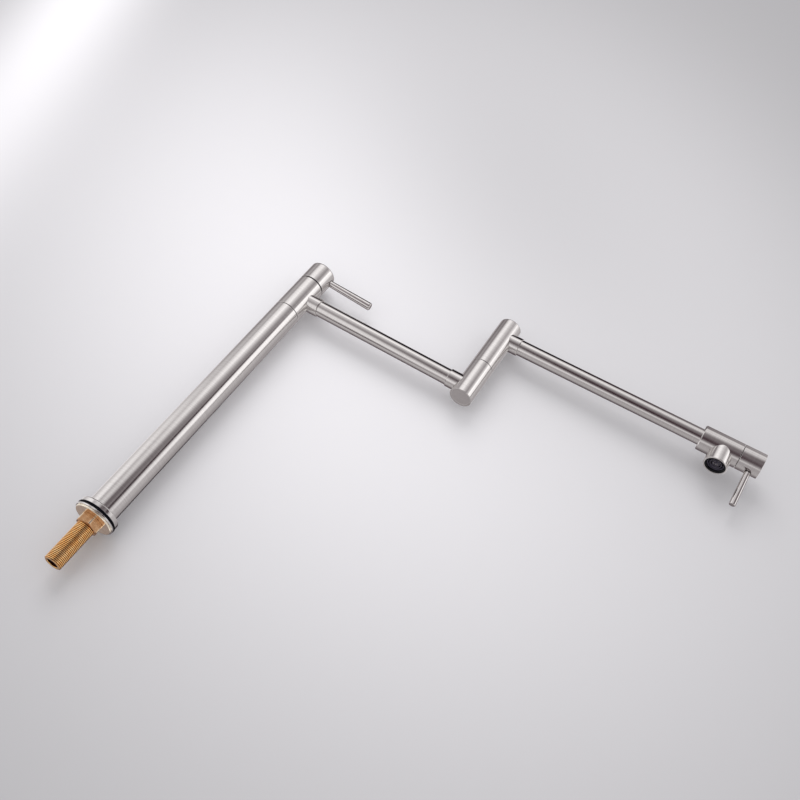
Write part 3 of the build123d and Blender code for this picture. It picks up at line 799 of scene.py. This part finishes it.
def nozzleProfile(size):
    # a short cup below the outlet, its top shaped to the outlet's round side
    mouth, bore, outer, lip = size["mouth"], size["bore"], size["outer"], size["lip"]
    bend = lip * edgeMiddle
    edgeLow, edgeHigh, edgeIn = size["seamEdge"]

    def profileAt(angle):
        def seatAt(radius):
            return arm2Height - sqrt(size["seat"] ** 2 - (radius * sin(angle)) ** 2)
        top = seatAt(outer)
        return [
            (mouth + lip, bore), (mouth + bend, bore + bend), (mouth, bore + lip),
            (mouth, outer - lip), (mouth + bend, outer - bend), (mouth + lip, outer),
            (mouth + size["mouthBand"], outer), (top - size["seamBand"], outer),
            (top - edgeLow, outer), (top - edgeHigh, outer - edgeIn),
            (seatAt(size["throat"]), size["throat"]), (size["shoulder"], size["throat"]),
            (size["shoulder"], bore),
        ]
    return profileAt


piece("nozzle", turned(nozzleProfile(nozzle), nozzle["steps"]), nozzleAxis, "satin",
      "second_arm", ["nozzle"])

housing = {"low": 446.6, "high": 454.0, "outer": 12.5, "inner": 10.2, "key": 0.7, "keys": 6,
           "innerEdge": 0.5, "outerEdge": 0.35, "steps": 144}


def housingProfile(size):
    low, outer, edge = size["low"], size["outer"], size["outerEdge"]

    def profileAt(angle):
        notch = max(0.0, (0.5 + 0.5 * cos(angle * size["keys"])) * 4 - 3)   # 1 in a key's notch, mostly 0
        inner = size["inner"] + size["key"] * notch
        return [
            (low + size["innerEdge"], inner), (low, inner + size["innerEdge"]),
            (low, outer - edge), (low + edge, outer), (size["high"], outer), (size["high"], inner),
        ]
    return profileAt


piece("aeratorHousing", turned(housingProfile(housing), housing["steps"]), nozzleAxis, "dark",
      "second_arm", ["aerator_housing"])

screen = {
    "low": 448.6, "high": 450.6, "rings": [(10.15, 9.3), (7.3, 6.5), (4.4, 3.6), (1.3, 0.0)],
    "ringStep": 0.22, "ringEdge": 0.12, "ringSteps": 72, "hubEdge": 0.5, "hubSteps": 48,
    "spokes": 6, "spoke": (8.6, 0.45, 1.1), "spokeMiddle": 5.0, "spokeDrop": 0.6, "spokeEdge": 0.1,
}


def merged(parts):
    whole = bmesh.new()
    for part in parts:
        data = bpy.data.meshes.new("part")
        part.to_mesh(data)
        part.free()
        whole.from_mesh(data)
        bpy.data.meshes.remove(data)
    return whole


def spokeMesh(size, number):
    spoke = bmesh.new()
    turn = Matrix.Rotation(2 * pi * number / size["spokes"], 3, "Z")
    middle = (size["spokeMiddle"], 0, size["high"] - size["spokeDrop"])
    bmesh.ops.create_cube(spoke, size=1.0)
    bmesh.ops.scale(spoke, vec=size["spoke"], verts=spoke.verts)
    bmesh.ops.bevel(spoke, geom=spoke.edges[:], offset=size["spokeEdge"], segments=2, affect="EDGES")
    bmesh.ops.translate(spoke, vec=middle, verts=spoke.verts)
    bmesh.ops.rotate(spoke, cent=(0, 0, 0), matrix=turn, verts=spoke.verts)
    return spoke


def screenMesh(size):
    # rings round a hub, each a step higher, held by spokes
    parts = []
    high = size["high"]
    for number, (outer, inner) in enumerate(size["rings"]):
        low = size["low"] + size["ringStep"] * number
        if inner:
            edge = size["ringEdge"]
            corners = [(low, inner, edge), (low, outer, edge), (high, outer, 0), (high, inner, 0)]
            parts.append(lathe(corners, size["ringSteps"], bends=2))
        else:
            corners = [(low, 0.0, 0), (low, outer, size["hubEdge"]), (high, outer, 0), (high, 0.0, 0)]
            parts.append(lathe(corners, size["hubSteps"], False, 4))
    parts += [spokeMesh(size, number) for number in range(size["spokes"])]
    return merged(parts)


piece("aeratorScreen", screenMesh(screen), nozzleAxis, "aerator",
      "second_arm", ["aerator_screen"])

leverSwing = radians(10.7)   # the outlet's lever hangs this far forward of straight down
outletCap = {"outer": 15.8, "inner": 13.0, "low": 318.4, "ceiling": 321.6, "top": 345.3,
             "edges": (0.2, 0.2, 0.3, 0.45), "bandLow": 327.6, "bandHigh": 340.0}
outletSocket = {"turn": -pi / 2 + leverSwing, "height": 333.8, "radius": 4.6, "depth": 3.0,
                "edge": 0.25, "stud": 2.3}
piece("outletCap", socketed(outletCap, outletSocket, bends=3), arm2Axis, "satin",
      "outlet_handle", ["outlet_cap"])

outletLever = {"start": 12.9, "reach": 62.5, "root": 3.65, "tip": 3.9, "rootEdge": 0.2, "tipEdge": 0.7,
               "steps": 56, "bends": 4}
leverSpot = Vector((kneeX, 0, arm2Height)) + Vector(alongArm2) * outletSocket["height"]
leverWay = Vector((0, 0, -cos(leverSwing))) + Vector(arm2Side) * sin(leverSwing)
piece("outletLever", leverMesh(outletLever), axisAt(leverSpot, leverWay, alongArm2), "polished",
      "outlet_handle", ["outlet_lever"])
print("outlet, nozzle, aerator and outlet handle made")

# the part's own solids keep their shapes and get the finish of their slot
slotFinish = {"satin_steel": "satin", "polished_steel": "polished", "brass": "brass",
              "black_rubber": "rubber", "dark_plastic": "dark", "white_ceramic": "ceramic"}
slotOf = {entry["node"]: entry["material_slot"] for entry in frame["record"]["subparts"]}
for nodeName, node in frame["nodes"].items():
    finish = finishes[slotFinish[slotOf[nodeName]]]
    if node.material_slots:
        for materialSlot in node.material_slots:
            materialSlot.material = finish
    else:
        node.data.materials.append(finish)
print("part nodes finished")


backdrop = {
    "wall": 24.9, "middle": (200.0, 600.0), "half": 5000.0, "roughness": 0.9,
    "tint": (1.008, 0.996, 1.018), "edgeTone": 0.418, "grainScale": 40.0, "grainSwing": 0.01,
    # painted pools of light and shade in the backdrop's colour: middle across and up in metres, spread, lean
    # in radians
    "paintedLightPools": [
        {"middle": (0.078, 0.510), "spread": (0.392, 0.469), "lean": 0.970, "tone": 0.580},
        {"middle": (-0.737, 0.926), "spread": (0.068, 0.632), "lean": 0.332, "tone": 0.423},
        {"middle": (0.142, 0.679), "spread": (0.296, 0.183), "lean": -0.711, "tone": -0.269},
    ],
}


# one painted pool: its tone adds painted light where positive and painted shade where negative
def paintedPoolTone(where, paintedPool):
    middleX, middleZ = paintedPool["middle"]
    wide, tall = paintedPool["spread"]
    leanX, leanZ = cos(paintedPool["lean"]), sin(paintedPool["lean"])
    across = (where.along((leanX, 0.0, leanZ)) - (middleX * leanX + middleZ * leanZ)) / wide
    up = (where.along((-leanZ, 0.0, leanX)) - (middleZ * leanX - middleX * leanZ)) / tall
    return ((across * across + up * up) * -0.5).made("EXPONENT") * paintedPool["tone"]


def backdropMaterial(look):
    # from behind it lets the view through, and shiny pieces see the room instead of it
    material, recipe = newMaterial("paleBackdrop")
    where = recipe.place()
    tone = look["edgeTone"]
    # painted light and shade: the pools brighten and darken the backdrop's colour
    for paintedPool in look["paintedLightPools"]:
        tone = tone + paintedPoolTone(where, paintedPool)
    grain = recipe.noise(where, look["grainScale"], 3.0) * look["grainSwing"] + (1 - look["grainSwing"] / 2)
    front = recipe.node("ShaderNodeBsdfPrincipled", None, {
        "Base Color": recipe.scaled(look["tint"], tone * grain),
        "Roughness": look["roughness"],
        "Specular IOR Level": 0.0,
    })
    clear = recipe.node("ShaderNodeBsdfTransparent")
    behind = recipe.node("ShaderNodeNewGeometry", output="Backfacing")
    shiny = recipe.node("ShaderNodeLightPath", output="Is Glossy Ray")
    through = (behind + shiny).clipped()
    recipe.finish(recipe.node("ShaderNodeMixShader", None, {0: through, 1: front, 2: clear}))
    return material


def makeBackdrop(look):
    mesh = bmesh.new()
    middleX, middleZ = look["middle"]
    corners = []
    for right, up in ((-1, -1), (1, -1), (1, 1), (-1, 1)):
        cornerX = (middleX + right * look["half"]) * mm
        cornerZ = (middleZ + up * look["half"]) * mm
        corners.append(mesh.verts.new((cornerX, look["wall"] * mm, cornerZ)))
    mesh.faces.new(corners)
    mesh.normal_update()
    data = bpy.data.meshes.new("backdrop")
    mesh.to_mesh(data)
    mesh.free()
    made = bpy.data.objects.new("backdrop", data)
    scene.collection.objects.link(made)
    data.materials.append(backdropMaterial(look))


makeBackdrop(backdrop)

# what the steel mirrors: soft light boxes of the room and, below zero, its dark screens;
# degrees round from the front and up, half the width and height, and how soft the edge is
roomLights = [
    {"name": "keyBox", "turn": -11, "lift": 32, "wide": 22, "tall": 10, "edge": 9, "light": 2.75},
    {"name": "lowBox", "turn": -24, "lift": -46, "wide": 11, "tall": 17, "edge": 6, "light": 1.45},
    {"name": "rightBox", "turn": 65, "lift": 31, "wide": 19, "tall": 10, "edge": 2, "light": 0.85},
    {"name": "backBox", "turn": -162, "lift": 44, "wide": 30, "tall": 16, "edge": 3, "light": 0.75},
    {"name": "rearStrip", "turn": 174, "lift": 32, "wide": 18, "tall": 9, "edge": 3, "light": 0.2},
    {"name": "highBox", "turn": 7, "lift": 54, "wide": 43, "tall": 10, "edge": 2, "light": 0.55},
    {"name": "leftStrip", "turn": -104, "lift": 23, "wide": 64, "tall": 6, "edge": 2, "light": 0.5},
    {"name": "floorBox", "turn": -28, "lift": -71, "wide": 13, "tall": 9, "edge": 2, "light": 0.45},
    {"name": "behindRight", "turn": 148, "lift": -22, "wide": 12, "tall": 20, "edge": 4, "light": 0.8},
    {"name": "behindLeft", "turn": -122, "lift": -16, "wide": 9, "tall": 16, "edge": 4, "light": 0.6},
    {"name": "lowRight", "turn": 64, "lift": -24, "wide": 8, "tall": 22, "edge": 3, "light": 0.7},
    {"name": "lowLeft", "turn": -78, "lift": -22, "wide": 8, "tall": 20, "edge": 3, "light": 0.6},
    {"name": "backCorner", "turn": 141, "lift": -26, "wide": 26, "tall": 90, "edge": 11, "light": -0.2},
    {"name": "leftScreen", "turn": -107, "lift": 31, "wide": 17, "tall": 14, "edge": 7, "light": -0.55},
    {"name": "backScreen", "turn": -169, "lift": 11, "wide": 25, "tall": 42, "edge": 9, "light": -0.6},
    {"name": "ceilingScreen", "turn": -97, "lift": 68, "wide": 71, "tall": 23, "edge": 3, "light": -0.65},
    {"name": "rightGap", "turn": 53, "lift": 20, "wide": 8, "tall": 4, "edge": 2, "light": -0.75},
    {"name": "floorScreen", "turn": -103, "lift": -66, "wide": 10, "tall": 7, "edge": 2, "light": -0.8},
    {"name": "rightScreen", "turn": 49, "lift": 30, "wide": 5, "tall": 7, "edge": 2, "light": -1.3},
    {"name": "frontScreen", "turn": 13, "lift": 23, "wide": 14, "tall": 29, "edge": 14, "light": -1.7},
    {"name": "lowScreen", "turn": -11, "lift": -44, "wide": 7, "tall": 20, "edge": 9, "light": -2.15},
]
room = {"base": (0.67, 0.643, 0.652), "darkest": (0.02, 0.02, 0.022), "view": (0.78, 0.775, 0.785),
        "fill": (0.80, 0.795, 0.805)}


def boxLight(recipe, looking, box):
    # a box's light in a direction: full inside its two half angles, fading outside them
    turn, lift = radians(box["turn"]), radians(box["lift"])
    centre = (sin(turn) * cos(lift), -cos(turn) * cos(lift), sin(lift))
    side = (cos(turn), sin(turn), 0.0)
    up = (-sin(turn) * sin(lift), cos(turn) * sin(lift), cos(lift))
    across = looking.along(side).made("ARCTAN2", looking.along(centre)).made("ABSOLUTE")
    rise = looking.along(up).made("ARCSINE").made("ABSOLUTE")
    edge = radians(box["edge"])
    pastSide = 1 + ((across - radians(box["wide"])) / edge).made("EXPONENT")
    pastTop = 1 + ((rise - radians(box["tall"])) / edge).made("EXPONENT")
    return recipe.scaled((1.0, 1.0, 1.0), box["light"] / (pastSide * pastTop))


def makeRoom(look, boxes):
    # the view sees a pale wall, shiny pieces the boxes, and all else a plain fill
    world = bpy.data.worlds.new("studio")
    scene.world = world
    world.use_nodes = True
    recipe = Recipe(world.node_tree)
    looking = recipe.node("ShaderNodeTexCoord", output="Generated")
    light = look["base"]
    for box in boxes:
        light = light + boxLight(recipe, looking, box)
    light = recipe.node("ShaderNodeVectorMath", {"operation": "MAXIMUM"}, {0: light, 1: look["darkest"]})
    mirrored = recipe.node("ShaderNodeBackground", None, {"Color": light})
    pale = recipe.node("ShaderNodeBackground", None, {"Color": (*look["view"], 1.0)})
    fill = recipe.node("ShaderNodeBackground", None, {"Color": (*look["fill"], 1.0)})
    shiny = recipe.node("ShaderNodeLightPath", output="Is Glossy Ray")
    seen = recipe.node("ShaderNodeLightPath", output="Is Camera Ray")
    lit = recipe.node("ShaderNodeMixShader", None, {0: shiny, 1: fill, 2: mirrored})
    mixed = recipe.node("ShaderNodeMixShader", None, {0: seen, 1: lit, 2: pale})
    recipe.node("ShaderNodeOutputWorld", None, {"Surface": mixed})


makeRoom(room, roomLights)

softLamp = {"name": "mainSoftLight", "place": (-1400, -2880, 2540), "aim": (200, 0, 300),
            "size": 2600, "power": 52.0, "colour": (1.0, 0.99, 1.0)}


def makeLamp(look):
    data = bpy.data.lights.new(look["name"], "AREA")
    data.size = look["size"] * mm
    data.energy = look["power"]
    data.color = look["colour"]
    lamp = bpy.data.objects.new(look["name"], data)
    scene.collection.objects.link(lamp)
    place, aim = Vector(look["place"]) * mm, Vector(look["aim"]) * mm
    lamp.location = place
    lamp.rotation_euler = (aim - place).to_track_quat("-Z", "Y").to_euler()
    lamp.visible_glossy = False   # the room's own boxes make the reflections
    lamp.visible_camera = False


makeLamp(softLamp)

cameraLook = {"place": (457.7, -947.3, -331.6), "forward": (-0.2299, 0.80224, 0.55096),
              "right": (0.85394, -0.10527, 0.50961), "lens": 44.6975, "nearest": 0.05, "farthest": 50.0}


def makeCamera(look):
    data = bpy.data.cameras.new("camera")
    data.lens = look["lens"]
    data.clip_start, data.clip_end = look["nearest"], look["farthest"]
    camera = bpy.data.objects.new("camera", data)
    scene.collection.objects.link(camera)
    right, back = Vector(look["right"]).normalized(), -Vector(look["forward"]).normalized()
    up = back.cross(right).normalized()
    right = up.cross(back)
    facing = Matrix((right, up, back)).transposed().to_4x4()
    camera.matrix_world = Matrix.Translation(Vector(look["place"]) * mm) @ facing
    scene.camera = camera


makeCamera(cameraLook)
print("backdrop, lights and camera made")
